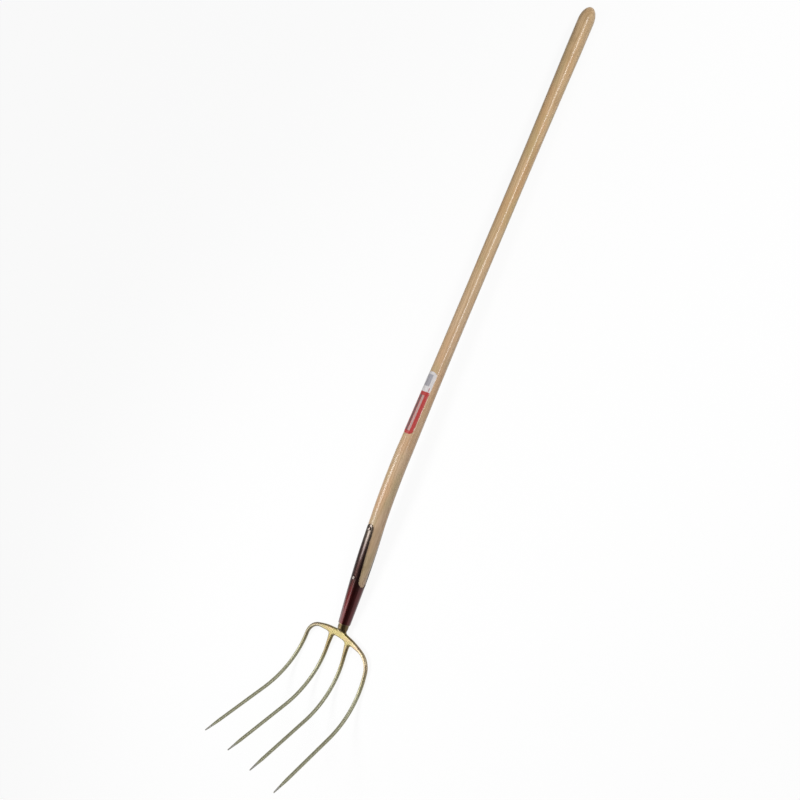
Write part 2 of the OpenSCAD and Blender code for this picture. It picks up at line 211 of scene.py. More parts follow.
def weld(obj, distance):
    """Joins points that lie on each other."""
    bm = bmesh.new()
    bm.from_mesh(obj.data)
    bmesh.ops.remove_doubles(bm, verts=bm.verts, dist=distance)
    bmesh.ops.recalc_face_normals(bm, faces=bm.faces)
    bm.to_mesh(obj.data)
    bm.free()
    obj.data.shade_smooth()


def settle(obj):
    """Turns the object's modifiers into its mesh."""
    shaped = obj.evaluated_get(bpy.context.evaluated_depsgraph_get())
    made = bpy.data.meshes.new_from_object(shaped)
    obj.modifiers.clear()
    obj.data = made


# Node making
class Nodes:
    """Short ways to add nodes to a tree, which starts empty."""

    def __init__(self, tree):
        self.tree = tree
        tree.nodes.clear()

    def link(self, a, b):
        self.tree.links.new(a, b)

    def put(self, socket, value):
        if isinstance(value, bpy.types.NodeSocket):
            self.link(value, socket)
        elif isinstance(value, (tuple, list)) and len(value) == 3 and socket.type == "RGBA":
            socket.default_value = (*value, 1)
        else:
            socket.default_value = value

    def add(self, kind, props=None, **values):
        node = self.tree.nodes.new(kind)
        for key, value in (props or {}).items():
            setattr(node, key, value)
        for key, value in values.items():
            self.put(node.inputs[key.replace("_", " ")], value)
        return node

    def end(self, node, kind="ShaderNodeOutputMaterial"):
        self.link(node.outputs[0], self.add(kind).inputs[0])

    def mark(self, name, out="Vector"):
        return self.add("ShaderNodeAttribute", {"attribute_name": name}).outputs[out]

    def stretch(self, vector, scale, shift=(0, 0, 0)):
        node = self.add("ShaderNodeMapping", Vector=vector, Scale=scale, Location=shift)
        return node.outputs[0]

    def noise(self, vector, scale=1.0, detail=2.0, rough=0.5, out=0):
        node = self.add("ShaderNodeTexNoise", Vector=vector, Scale=scale, Detail=detail,
                        Roughness=rough)
        return node.outputs[out]

    def cells(self, vector, scale):
        return self.add("ShaderNodeTexVoronoi", Vector=vector, Scale=scale).outputs["Distance"]

    def math(self, op, a, b=0.0, c=0.0):
        node = self.add("ShaderNodeMath", {"operation": op})
        for socket, value in zip(node.inputs, (a, b, c)):
            self.put(socket, value)
        return node.outputs[0]

    def vmath(self, op, a, b):
        node = self.add("ShaderNodeVectorMath", {"operation": op})
        self.put(node.inputs[0], a)
        self.put(node.inputs[1], b)
        return node.outputs[0]

    def split(self, vector):
        return self.add("ShaderNodeSeparateXYZ", Vector=vector).outputs

    def step(self, value, low, high, to_low=0.0, to_high=1.0):
        """Smooth step from to_low, where the value is low, to to_high, where it is high."""
        node = self.add("ShaderNodeMapRange", {"interpolation_type": "SMOOTHSTEP"})
        for socket, v in zip(node.inputs, (value, low, high, to_low, to_high)):
            self.put(socket, v)
        return node.outputs[0]

    def ramp(self, fac, *stops):
        node = self.add("ShaderNodeValToRGB")
        self.put(node.inputs[0], fac)
        marks = node.color_ramp.elements
        while len(marks) < len(stops):
            marks.new(0.5)
        for mark, (at, colour) in zip(marks, stops):
            mark.position = at
            mark.color = (*colour, 1)
        return node.outputs[0]

    def mix(self, fac, a, b, mode="MIX"):
        node = self.add("ShaderNodeMix", {"data_type": "RGBA", "blend_type": mode})
        self.put(node.inputs[0], fac)
        self.put(node.inputs[6], a)
        self.put(node.inputs[7], b)
        return node.outputs[2]

    def bump(self, height, strength, distance):
        node = self.add("ShaderNodeBump", Height=height, Strength=strength, Distance=distance)
        return node.outputs[0]

    def seen(self):
        """1 for rays from the camera, from reflections and through clear things."""
        path = self.add("ShaderNodeLightPath").outputs
        first = self.math("MAXIMUM", path["Is Camera Ray"], path["Is Glossy Ray"])
        return self.math("MAXIMUM", first, path["Is Transmission Ray"])


class Surface(Nodes):
    """A material with a Principled shader. Values are for the shader's sockets."""

    def __init__(self, name, **values):
        self.material = bpy.data.materials.new(name)
        self.material.use_nodes = True
        super().__init__(self.material.node_tree)
        self.shader = self.add("ShaderNodeBsdfPrincipled", **values)
        self.end(self.shader)

    def set(self, **values):
        for key, value in values.items():
            self.put(self.shader.inputs[key.replace("_", " ")], value)


def ash():
    """Straight-grained ash under a thin clear lacquer. Mark: grain, mm in the unbent handle."""
    ring_line, pore_brown = (0.478, 0.320, 0.193), (0.235, 0.145, 0.070)
    rosy, olive_tint = (0.558, 0.335, 0.180), (0.452, 0.366, 0.205)
    yellowing, grime_brown = (1.0, 0.985, 0.86), (0.300, 0.190, 0.092)
    ring_width, pith_x, pith_y, runout_x, runout_y = 2.7, 31.0, 24.0, 0.011, -0.007

    n = Surface("ash", Coat_Weight=0.65, Coat_Roughness=0.2, Coat_IOR=1.45, IOR=1.2)
    g = n.mark("grain")
    wander = n.noise(n.stretch(g, (0.03, 0.03, 0.0045)), out=1)
    drift = n.vmath("MULTIPLY", n.vmath("SUBTRACT", wander, (0.5, 0.5, 0.5)), (9.0, 9.0, 0.0))
    x, y, s = n.split(n.vmath("ADD", g, drift))
    # Growth rings about a pith line beside the handle, with some run-out along it
    px = n.math("ADD", n.math("MULTIPLY_ADD", s, runout_x, pith_x), x)
    py = n.math("ADD", n.math("MULTIPLY_ADD", s, runout_y, pith_y), y)
    r = n.math("SQRT", n.math("ADD", n.math("MULTIPLY", px, px), n.math("MULTIPLY", py, py)))
    year = n.math("FRACT", n.math("DIVIDE", r, ring_width))
    fibre = n.noise(n.stretch(g, (1.1, 1.1, 0.010)), detail=4, rough=0.6)
    pores = n.noise(n.stretch(g, (4.2, 4.2, 0.12)), detail=1)
    early = n.math("MULTIPLY", n.step(year, 0.0, 0.06), n.step(year, 0.42, 0.22))
    pore = n.math("MULTIPLY", n.step(pores, 0.56, 0.68),
                  n.math("MULTIPLY_ADD", early, 0.85, 0.15))
    wood = n.ramp(year, (0.0, ring_line), (0.12, (0.503, 0.343, 0.213)),
                  (0.40, (0.585, 0.418, 0.274)), (0.90, (0.555, 0.387, 0.248)), (1.0, ring_line))
    streaks = n.ramp(fibre, (0.25, (0.70, 0.66, 0.60)), (0.50, (1.0, 1.0, 1.0)),
                     (0.75, (1.16, 1.17, 1.19)))
    wood = n.mix(0.75, wood, streaks, "MULTIPLY")
    patch = n.noise(n.stretch(g, (0.035, 0.035, 0.011), (7, 3, 1)), detail=3)
    wood = n.mix(n.step(patch, 0.48, 0.66, 0.0, 0.55), wood, rosy)
    olive = n.noise(n.stretch(g, (0.04, 0.04, 0.013), (31, 11, 5)), detail=3)
    wood = n.mix(n.step(olive, 0.50, 0.68, 0.0, 0.5), wood, olive_tint)
    wood = n.mix(n.math("MULTIPLY", pore, 0.55), wood, pore_brown)
    # The upper handle is yellower than the part near the socket
    wood = n.mix(n.step(s, 520, 950), wood, yellowing, "MULTIPLY")
    # Handling: the grip end and the stretch over the straps are a little darker
    grime = n.noise(n.stretch(g, (0.12, 0.12, 0.03)), detail=5, rough=0.65)
    worn = n.math("ADD", n.step(s, 1180, 1380, 0.0, 0.5), n.step(s, 330, 230, 0.0, 0.28))
    wood = n.mix(n.math("MULTIPLY", worn, n.step(grime, 0.42, 0.66)), wood, grime_brown)
    n.set(Base_Color=wood)
    n.set(Roughness=n.step(fibre, 0.3, 0.7, 0.36, 0.50))
    height = n.math("SUBTRACT", n.math("MULTIPLY", fibre, 0.35), pore)
    n.set(Normal=n.bump(height, 0.35, 0.00008))
    wave = n.noise(n.stretch(g, (0.10, 0.10, 0.02)), detail=2)
    n.set(Coat_Normal=n.bump(n.math("MULTIPLY_ADD", height, 0.12, wave), 0.25, 0.0004))
    return n.material


def varnished_steel():
    """Forged steel under a gold varnish. Marks: spot, in mm, and tip, mm to the tine's point."""
    thin, pale, dull = (0.380, 0.382, 0.268), (0.480, 0.390, 0.280), (0.245, 0.222, 0.180)
    root_brown, heat_brown = (0.212, 0.150, 0.076), (0.335, 0.235, 0.145)
    rust_brown, neck_brown = (0.235, 0.150, 0.080), (0.125, 0.086, 0.036)
    grain_grey = (0.205, 0.185, 0.130)

    n = Surface("varnished_steel", Coat_Weight=0.15, Coat_Roughness=0.2, IOR=1.5)
    p = n.mark("spot")
    tip = n.mark("tip", "Fac")
    cloud = n.noise(p, 0.06, 4, 0.6)
    fine = n.noise(p, 0.45, 5, 0.65)
    grain = n.noise(p, 2.6, 3, 0.6)
    gold = n.ramp(cloud, (0.25, (0.248, 0.203, 0.078)), (0.5, (0.288, 0.239, 0.095)),
                  (0.75, (0.325, 0.273, 0.116)))
    # The varnish is richer on the bow and thins out down the tines
    _, side, height = n.split(p)
    gold = n.mix(n.math("MULTIPLY", n.step(height, -20, -95), 0.85), gold, thin)
    # One shoulder is paler and warmer and the other is greyer
    shoulder = n.step(height, -70, -22)
    gold = n.mix(n.math("MULTIPLY", n.step(side, 26, 54, 0.0, 0.6), shoulder), gold, pale)
    gold = n.mix(n.math("MULTIPLY", n.step(side, -34, -66, 0.0, 0.6), shoulder), gold, dull)
    # The inner tines are browner at their roots
    roots = n.math("MULTIPLY", n.step(height, -62, -30, 0.0, 0.5), n.step(height, -4, -14))
    roots = n.math("MULTIPLY", roots, n.step(n.math("ABSOLUTE", side), 44, 36))
    gold = n.mix(roots, gold, root_brown)
    # Patches from the forging's heat, specks of rust, and a fine scale
    patch = n.step(n.noise(n.stretch(p, (0.05, 0.05, 0.09), (3, 8, 2)), 1.0, 2), 0.48, 0.66)
    gold = n.mix(n.math("MULTIPLY", patch, n.step(height, -55, -10, 0.1, 0.6)), gold, heat_brown)
    rust = n.math("MULTIPLY", n.step(fine, 0.56, 0.72), n.step(cloud, 0.45, 0.62))
    gold = n.mix(n.math("MULTIPLY", rust, 0.35), gold, rust_brown)
    gold = n.mix(n.step(grain, 0.35, 0.75, 0.0, 0.12), gold, grain_grey)
    # Bare points
    ragged = n.math("MULTIPLY_ADD", n.noise(p, 0.22, 4, 0.6), 26.0, -13.0)
    bare = n.step(n.math("ADD", tip, ragged), 24, 12)
    steel = n.ramp(fine, (0.3, (0.300, 0.290, 0.250)), (0.7, (0.420, 0.408, 0.360)))
    gold = n.mix(bare, gold, steel)
    # The neck is a darker brown and glossier, with a ragged lower edge
    run = n.math("MULTIPLY_ADD", n.noise(p, 0.3, 3, 0.6), 3.0, -1.5)
    neck = n.step(n.math("ADD", height, run), 14.2, 16.2)
    n.set(Base_Color=n.mix(neck, gold, neck_brown))
    rough = n.step(fine, 0.3, 0.7, 0.42, 0.50)
    n.set(Roughness=n.math("MULTIPLY_ADD", neck, -0.16, rough))
    n.set(Metallic=n.math("MULTIPLY_ADD", n.step(height, -60, -2), 0.35, 0.55))
    lumps = n.noise(p, 0.16, 3, 0.5)
    scale = n.math("MULTIPLY_ADD", grain, 0.05, n.math("MULTIPLY_ADD", fine, 0.25, lumps))
    n.set(Normal=n.bump(scale, 0.05, 0.0006))
    n.set(Coat_Normal=n.bump(lumps, 0.06, 0.0005))
    return n.material


def maroon_enamel(name="maroon_enamel", crown=False):
    """Glossy dark red enamel over steel. Marks: spot, in mm, and edge, mm to the nearest edge."""
    worn_edge, worn_crown_glint = (0.150, 0.118, 0.098), (0.150, 0.118, 0.100)
    lip_glint = (0.170, 0.122, 0.060)

    n = Surface(name, Metallic=0.9, Coat_Weight=0.55, Coat_Roughness=0.06, Coat_IOR=1.5, IOR=1.2)
    p = n.mark("spot")
    height = n.split(p)[2]
    cloud = n.noise(n.stretch(p, (0.09, 0.09, 0.035)), 1.0, 3, 0.55)
    fine = n.noise(p, 0.8, 5, 0.65)
    red = n.ramp(cloud, (0.3, (0.064, 0.0092, 0.0092)), (0.7, (0.090, 0.0125, 0.0125)))
    # The straps are a dark brown, and their colour is painted paler towards their ends as a
    # painted highlight
    strap_brown_sheen = n.ramp(n.step(height, 150, 240), (0.0, (0.036, 0.020, 0.017)),
                   (0.6, (0.064, 0.046, 0.039)), (1.0, (0.125, 0.104, 0.083)))
    red = n.mix(n.step(height, 95, 140, 0.0, 0.9), red, strap_brown_sheen)
    edge = n.math("ADD", n.mark("edge", "Fac"), n.math("MULTIPLY_ADD", fine, 2.2, -1.1))
    chips = n.math("MULTIPLY", n.step(n.cells(p, 0.33), 0.16, 0.11), n.step(cloud, 0.56, 0.60))
    worn = n.math("MAXIMUM", n.step(edge, 0.28, 0.05), n.math("MULTIPLY", chips, 0.8))
    if crown:
        # On the rivets the domes are painted paler towards the crown: partly wear, partly a
        # painted highlight
        worn = n.math("MAXIMUM", worn, n.step(edge, 0.8, 3.4))
        paint = n.mix(worn, red, worn_crown_glint)
    else:
        paint = n.mix(n.math("MULTIPLY", worn, 0.6), red, worn_edge)
        # A thin gold-toned band round the lip's edge is a painted highlight
        paint = n.mix(n.step(height, LIP + 1.8, LIP + 0.9), paint, lip_glint)
    n.set(Base_Color=paint)
    n.set(Roughness=n.step(fine, 0.3, 0.7, 0.29, 0.36))
    peel = n.noise(p, 0.55, 2, 0.5)
    n.set(Normal=n.bump(n.math("MULTIPLY_ADD", worn, -0.6, fine), 0.12, 0.0003))
    n.set(Coat_Normal=n.bump(n.math("MULTIPLY_ADD", worn, -0.5, peel), 0.05, 0.0004))
    return n.material


def label_film():
    """Glossy film with plain printed fields. Mark: print, mm across and along the label."""
    dark_stripe, pale_stripe = (0.150, 0.095, 0.090), (0.43, 0.265, 0.245)
    panel_grey, line_red = (0.300, 0.290, 0.320), (0.380, 0.028, 0.027)
    scuffed = (0.58, 0.50, 0.46)
    # Where the fields lie, in mm across and along the label
    white_from, stripes_along = (91.4, 92.0), (7.0, 84.0)
    dark_across, pale_across = (-7.4, -2.0), (-0.6, 4.6)
    panel_across, panel_along = (-7.6, 5.6), (104.0, 129.0)
    line_across, line_along = (7.6, 8.6), (86.0, 101.0)

    n = Surface("label_film", Coat_Weight=0.3, Coat_Roughness=0.3, IOR=1.45)
    place = n.mark("print")
    x, s, _ = n.split(place)
    fleck = n.noise(place, 0.9, 4, 0.6)
    scuff = n.noise(n.stretch(place, (0.9, 0.12, 1)), 1.0, 4, 0.65)

    def band(value, low, high, soft=0.15):
        return n.math("MULTIPLY", n.step(value, low - soft, low + soft),
                      n.step(value, high + soft, high - soft))

    red = n.mix(n.step(fleck, 0.35, 0.7), (0.400, 0.030, 0.028), (0.470, 0.040, 0.036))
    white = n.mix(n.step(fleck, 0.3, 0.7), (0.56, 0.53, 0.53), (0.66, 0.63, 0.63))
    paint = n.mix(n.step(s, *white_from), red, white)
    # Plain stripes along the red field, a plain grey panel on the white one and a line beside it
    striped = band(s, *stripes_along)
    paint = n.mix(n.math("MULTIPLY", band(x, *dark_across), striped), paint, dark_stripe)
    paint = n.mix(n.math("MULTIPLY", band(x, *pale_across), striped), paint, pale_stripe)
    panel = n.math("MULTIPLY", band(x, *panel_across), band(s, *panel_along))
    paint = n.mix(n.math("MULTIPLY", panel, 0.9), paint, panel_grey)
    line = n.math("MULTIPLY", band(x, *line_across), band(s, *line_along))
    paint = n.mix(line, paint, line_red)
    n.set(Base_Color=n.mix(n.step(scuff, 0.60, 0.74, 0.0, 0.35), paint, scuffed))
    n.set(Roughness=n.step(scuff, 0.35, 0.75, 0.42, 0.58))
    n.set(Normal=n.bump(scuff, 0.08, 0.0002))
    return n.material


# Handle
def build_handle():
    foot = np.arange(PLUG_TOP, STRAIGHT, FOOT_STEP)
    shaft = STRAIGHT + np.linspace(0, DOME_AT, SHAFT_ROWS)
    rise = np.radians(np.linspace(0, DOME_TURN, DOME_ROWS))[1:]
    s = np.concatenate([foot, shaft, STRAIGHT + DOME_AT + DOME_LEN * np.sin(rise)])
    r = np.concatenate([handle_r(foot), handle_r(shaft), GRIP_D / 2 * np.cos(rise)])
    a = np.linspace(0, 2 * np.pi, HANDLE_COLS, endpoint=False)
    # Hand-finished wood is never quite even, so it is taken down a little here and there
    ss, aa = np.meshgrid(s, a, indexing="ij")
    dip = (2 + np.sin(ss / 47 + 2 * aa) + np.sin(ss / 83 - aa + 1.3)) / 4
    rr = r[:, None] * (1 - WOOD_DIP_SHARE * dip)
    side, front = rr * np.sin(aa), rr * np.cos(aa)
    points = beside_axis(ss, side, front).reshape(-1, 3)
    grain = np.stack([side, front, ss], -1).reshape(-1, 3)
    faces = ring_faces(len(s), HANDLE_COLS)
    last_row = (len(s) - 1) * HANDLE_COLS
    for at, row, order in ((s[0], 0, -1), (STRAIGHT + HANDLE_END, last_row, 1)):
        faces += fan_faces(row, HANDLE_COLS, len(points), order)
        points = np.vstack([points, beside_axis(at, 0, 0)])
        grain = np.vstack([grain, [0, 0, at]])
    piece("ash_handle", points, faces, "handle", "ash", ash(), grain=grain)


# Fork head: a field of distances to its surface, with smooth forged joins
def tine_path(x, depth, run, tail):
    """Offset to the hollow side of a tine's middle line, length along it, and its whole length."""
    turn = np.arctan2(depth - run, SWEEP_R - x)
    c, s = math.cos(SWEEP), math.sin(SWEEP)
    dx, dd = x - SWEEP_R * (1 - c), depth - run - SWEEP_R * s
    straight, swept = depth < run, turn < SWEEP
    curve_off = SWEEP_R - np.hypot(x - SWEEP_R, depth - run)
    curve_end = run + SWEEP_R * SWEEP
    off = np.where(straight, x, np.where(swept, curve_off, dx * c - dd * s))
    along = np.where(straight, depth,
                     np.where(swept, run + SWEEP_R * turn, curve_end + dx * s + dd * c))
    return off, along, curve_end + tail


def tine_r(along, total):
    """Radius of a tine: an even taper, then the point."""
    left = np.clip((total - along) / POINT_LEN, 0, 1)
    body = TINE_D / 2 + (TINE_END_D - TINE_D) / 2 * np.clip(along / (total - POINT_LEN), 0, 1)
    point = POINT_D / 2 + (TINE_END_D - POINT_D) / 2 * (1 - (1 - left) ** POINT_POWER)
    return np.where(left < 1, point, body)


def splayed(y, z, y0, z0, a):
    """Across and down a tine that starts at y0, z0 and splays by the angle a."""
    dy, dz = y - y0, z - z0
    return dy * math.cos(a) + dz * math.sin(a), dy * math.sin(a) - dz * math.cos(a)


def joined(a, b, soft):
    """The nearer of two surfaces, with a fillet."""
    h = np.maximum(soft - np.abs(a - b), 0) / soft
    return np.minimum(a, b) - h * h * soft / 4


def over_arch(y, z, rise):
    """Way outwards from a line that arches over the bow's middle and runs into the shoulders."""
    far = (BOW_HALF ** 2 + rise ** 2) / (2 * rise)
    up = z - rise + far + SHOULDER_R
    on_arch = y * (far - rise) < up * BOW_HALF
    arch = np.hypot(y, up) - far - SHOULDER_R
    return np.where(on_arch, arch, np.hypot(y - BOW_HALF, z + SHOULDER_R) - SHOULDER_R)


def capped(off, across, along, total, r):
    """Distance to a round bar with a blunt end."""
    past = np.maximum(along - (total - POINT_D / 2), 0)
    return np.sqrt(off ** 2 + across ** 2 + past ** 2) - r


def head_field(p):
    """Distance to the head's surface at upright points, and the length left to a tine's point."""
    c, s = math.cos(HEAD_DROP), math.sin(HEAD_DROP)
    x, y, z = p[:, 0] * c - p[:, 2] * s, np.abs(p[:, 1]), p[:, 0] * s + p[:, 2] * c
    # Bow and shoulder as one bar between two arches
    spread = (BOW_H - TINE_D) / 2
    outward = (np.maximum(over_arch(y, z, BOW_RISE + spread), 0)
               + np.minimum(over_arch(y, z, BOW_RISE - spread), 0))
    bow = np.hypot(x, outward) - TINE_D / 2
    turned = np.arctan2(z + SHOULDER_R, y - BOW_HALF)
    bow = np.where((y > BOW_HALF - SHOULDER_R) & (turned < OUTER_SPLAY), FAR, bow)
    # Outer tine
    across, depth = splayed(y, z, OUTER_Y, OUTER_Z, OUTER_SPLAY)
    off, run, total = tine_path(x, depth, OUTER_RUN, OUTER_TAIL)
    outer = np.where(depth < -0.5, FAR, capped(off, across, run, total, tine_r(run, total)))
    left = total - run
    head = np.minimum(bow, outer)
    # Inner tine with its wide root
    across, depth = splayed(y, z, INNER_Y, 0, INNER_SPLAY)
    off, run, total = tine_path(x, depth, INNER_RUN, TAIL_LEN)
    r = tine_r(run, total)
    root = np.clip(1 - run / ROOT_LEN, 0, 1) ** ROOT_POWER
    wide_r = r + (ROOT_W - TINE_D) / 2 * root
    flat = (np.hypot(off / r, across / wide_r) - 1) * r
    inner = np.where(root > 0, flat, capped(off, across, run, total, r))
    inner = np.maximum(inner, -depth - BOW_RISE + ROOT_SINK)
    left = np.where(inner < outer, total - run, left)
    # The fillets lie in the bow's plane, so its front and back stay flush
    in_plane = np.clip(1 - (x / (TINE_D / 2)) ** 2, FLUSH_SHARE, 1)
    head = joined(head, inner, ROOT_FILLET * in_plane)
    # Neck
    up = p[:, 2]
    deep = blend(TINE_D / 4, NECK_R, (up - BOW_RISE) / ((LIP - BOW_RISE) * NECK_FULL_SHARE))
    neck = (np.hypot(p[:, 0] / deep, p[:, 1] / NECK_R) - 1) * np.minimum(deep, NECK_R)
    neck = np.maximum(np.maximum(neck, BOW_RISE - up), up - PLUG_TOP + PLUG_SHORT)
    return joined(head, neck, NECK_FILLET), np.where(up > -5, NO_POINT, left)


def head_slope(q):
    """Way in which the head's field grows fastest."""
    h = 0.02
    rises = [head_field(q + d)[0] - head_field(q - d)[0] for d in np.eye(3) * h]
    return np.stack(rises, -1) / (2 * h)


def head_mesh():
    """Points on the head's surface, its normals there, and quads, from blocks of the field."""
    size, reach = VOXEL * BLOCK, 3 * VOXEL
    low, high = np.array(HEAD_LOW), np.array(HEAD_HIGH)
    count = np.ceil((high - low) / size).astype(int)
    cells = np.stack(np.meshgrid(*[np.arange(k) for k in count], indexing="ij"), -1).reshape(-1, 3)
    near = head_field(low + (cells + 0.5) * size)[0] < size * 0.9 + 2
    inside = np.stack(np.meshgrid(*[np.arange(BLOCK)] * 3, indexing="ij"), -1).reshape(-1, 3)
    grid = openvdb.FloatGrid(reach)
    base = np.round(low / VOXEL).astype(int)
    for cell in cells[near]:
        start = base + cell * BLOCK
        field = np.clip(head_field((start + inside) * VOXEL)[0], -reach, reach)
        grid.copyFromArray(field.reshape(BLOCK, BLOCK, BLOCK), ijk=tuple(int(v) for v in start))
    grid.transform = openvdb.createLinearTransform(voxelSize=VOXEL)
    points, quads = grid.convertToQuads(isovalue=0.0)
    points = points.astype(float)
    for _ in range(3):
        g = head_slope(points)
        points -= (head_field(points)[0] / np.maximum((g ** 2).sum(1), 0.2))[:, None] * g
    normals = head_slope(points)
    normals /= np.linalg.norm(normals, axis=1)[:, None]
    a, b, d = (points[quads[:, k]] for k in (0, 1, 3))
    outward = (np.cross(b - a, d - a) * normals[quads[:, 0]]).sum(1).mean() > 0
    return points, normals, quads if outward else quads[:, ::-1]


def build_head():
    points, normals, quads = head_mesh()
    # Forging leaves the surface a little uneven
    x, y, z = points.T
    swell = (np.sin(x / 5.1 + z / 7.3) * np.sin(y / 6.1 - z / 9.7)
             + np.sin(z / 4.3 + y / 11) * np.sin(x / 3.7))
    points -= normals * (FORGE_DIP * (1 + swell / 2))[:, None]
    obj = piece("fork_head_forging", points, quads.tolist(), "fork_head", "varnished_steel",
                varnished_steel(), spot=points, tip=head_field(points)[1])
    turned = to_row(normals) - to_row(np.zeros(3))
    turned /= np.linalg.norm(turned, axis=1)[:, None]
    obj.data.normals_split_custom_set_from_vertices(turned.tolist())


# Socket with its straps
def strap_angle(s):
    """Half of the angle that a strap takes round the socket, a quarter turn where it is closed."""
    r = ogive_r(s)
    end_r = STRAP_END_W / 2
    round_at = STRAP_TOP - end_r
    up = (s - GAP_LOW) / (round_at - GAP_LOW)
    half = STRAP_ROOT_W / 2 + (STRAP_END_W - STRAP_ROOT_W) / 2 * up
    end = np.sqrt(np.maximum(end_r ** 2 - np.maximum(s - round_at, 0) ** 2, 0))
    angle = np.arcsin(np.where(s > round_at, end, half) / r)
    low = np.clip((GAP_LOW + GAP_R - s) / GAP_R, 0, 1)
    gap = angle + (np.pi / 2 - angle) * (1 - np.sqrt(1 - low ** 2))
    return np.where(s <= GAP_LOW, np.pi / 2, gap)


def build_socket():
    end_r = STRAP_END_W / 2
    quarter = np.radians(np.linspace(0, 90, QUARTER_ROWS))
    closed = np.linspace(LIP, GAP_LOW, CLOSED_ROWS)
    round_gap = GAP_LOW + GAP_R * (1 - np.cos(quarter))
    strap = np.linspace(round_gap[-1], STRAP_TOP - end_r, STRAP_ROWS)
    round_end = STRAP_TOP - end_r + end_r * np.sin(quarter)
    s = np.concatenate([closed, round_gap[1:], strap[1:], round_end[1:]])
    ss = np.repeat(s[:, None], STRAP_COLS, 1)
    angle = strap_angle(s)[:, None] * np.linspace(-1, 1, STRAP_COLS)[None]
    r = ogive_r(ss)
    halves, faces = [], []
    for turn in (0, np.pi):
        faces += sheet_faces(len(s), STRAP_COLS, len(halves) * ss.size)
        half = beside_axis(ss, r * np.sin(angle + turn), r * np.cos(angle + turn))
        halves.append(half.reshape(-1, 3))
    obj = piece("enamelled_socket", np.concatenate(halves), faces, "strapped_socket",
                "maroon_enamel", maroon_enamel())
    weld(obj, 0.00001)
    shell = obj.modifiers.new("wall", "SOLIDIFY")
    shell.thickness, shell.offset, shell.use_even_offset = SOCKET_T / 1000, -1, True
    bevel = obj.modifiers.new("edge", "BEVEL")
    bevel.width, bevel.segments = STRAP_EDGE_R / 1000, 3
    bevel.limit_method, bevel.angle_limit = "ANGLE", math.radians(50)
    settle(obj)
    mark_socket(obj)


def mark_socket(obj):
    """Keeps each point's upright place and its distance to the nearest edge of the straps."""
    row = np.zeros(len(obj.data.vertices) * 3)
    obj.data.vertices.foreach_get("co", row)
    spot = to_upright(row.reshape(-1, 3))
    height = np.clip(spot[:, 2], LIP, STRAP_TOP)
    lean = np.maximum(height - BEND_START, 0) ** 2 / (2 * BEND_R)
    angle = np.abs(np.arctan2(spot[:, 1], np.abs(spot[:, 0] + lean)))
    edge = np.where(height > GAP_LOW, (strap_angle(height) - angle) * ogive_r(height), NO_EDGE)
    edge = np.minimum(np.minimum(edge, height - LIP), STRAP_TOP - height)
    keep_marks(obj.data, spot=spot, edge=edge)
    obj.data.shade_smooth()


# Rivets
def build_rivet(name, node, s, reach, material):
    """Both domed heads and the shank between them, turned about a line from front to back."""
    cap = RIVET_HEAD_H - RIVET_RIM
    head_r = RIVET_HEAD_D / 2
    dome_r = (head_r ** 2 + cap ** 2) / (2 * cap)
    crown_at = reach + RIVET_HEAD_H
    tilt = np.linspace(0, math.asin(head_r / dome_r), CROWN_ROWS)[1:-1]
    crown = [(dome_r * math.sin(t), crown_at - dome_r * (1 - math.cos(t))) for t in tilt]
    rim = [(head_r - 0.05, reach + RIVET_RIM + 0.06), (head_r, reach + RIVET_RIM - 0.12),
           (head_r, reach - 0.75), (RIVET_D / 2, reach - 0.8)]
    half = crown + rim
    profile = half + [(r, -h) for r, h in half[::-1]]
    a = np.linspace(0, 2 * np.pi, RIVET_COLS, endpoint=False)
    r, h = (np.array(v)[:, None] for v in zip(*profile))
    turn = max(s - BEND_START, 0) / BEND_R
    side, up, front = r * np.sin(a), r * np.cos(a), h + 0 * a
    middle = beside_axis(s, 0, 0)
    points = np.stack([middle[0] + front * math.cos(turn) - up * math.sin(turn), side,
                       middle[2] + front * math.sin(turn) + up * math.cos(turn)], -1)
    points = points.reshape(-1, 3)
    faces = ring_faces(len(profile), RIVET_COLS)
    last_row = (len(profile) - 1) * RIVET_COLS
    for at, row, order in ((crown_at, 0, -1), (-crown_at, last_row, 1)):
        faces += fan_faces(row, RIVET_COLS, len(points), order)
        points = np.vstack([points, middle + np.array([math.cos(turn), 0, math.sin(turn)]) * at])
    spread = np.concatenate([(r + 0 * a).ravel(), [0, 0]])
    obj = piece(name, points, faces, node, "rivet_steel", material, spot=points, edge=5 - spread)
    weld(obj, 0.000001)


# Label
def build_label():
    corner = LABEL_CORNER_R
    quarter = np.radians(np.linspace(0, 90, CORNER_ROWS))
    ends = corner * (1 - np.cos(quarter))
    middle = np.linspace(corner, LABEL_LEN - corner, LABEL_ROWS)[1:-1]
    h = np.concatenate([ends, middle, LABEL_LEN - ends[::-1]])
    near = np.maximum(corner - np.minimum(h, LABEL_LEN - h), 0)
    half = LABEL_W / 2 - corner + np.sqrt(np.maximum(corner ** 2 - near ** 2, 0))
    rows, cols = len(h), LABEL_COLS
    side = half[:, None] * np.linspace(-1, 1, cols)[None]
    hh = np.repeat(h[:, None], cols, 1)
    s = STRAIGHT + LABEL_UP + hh
    angle = np.arcsin(side / handle_r(s))
    layers = []
    for lift in (LABEL_T, 0):
        r = handle_r(s) + LABEL_PLAY + lift
        layers.append(beside_axis(s, r * np.sin(angle), r * np.cos(angle)).reshape(-1, 3))
    faces = sheet_faces(rows, cols) + sheet_faces(rows, cols, rows * cols, flip=True)
    # The film's edge, once round
    last_row = (rows - 1) * cols
    loop = (list(range(cols)) + [i * cols + cols - 1 for i in range(1, rows)]
            + [last_row + j for j in range(cols - 2, -1, -1)]
            + [i * cols for i in range(rows - 2, 0, -1)])
    for p, q in zip(loop, loop[1:] + loop[:1]):
        faces.append([q, p, p + rows * cols, q + rows * cols])
    printed = np.stack([side, hh, 0 * hh], -1).reshape(-1, 3)
    obj = piece("label_film", np.concatenate(layers), faces, "label", "label_film", label_film(),
                print=np.concatenate([printed, printed]))
    obj.data.set_sharp_from_angle(angle=math.radians(40))


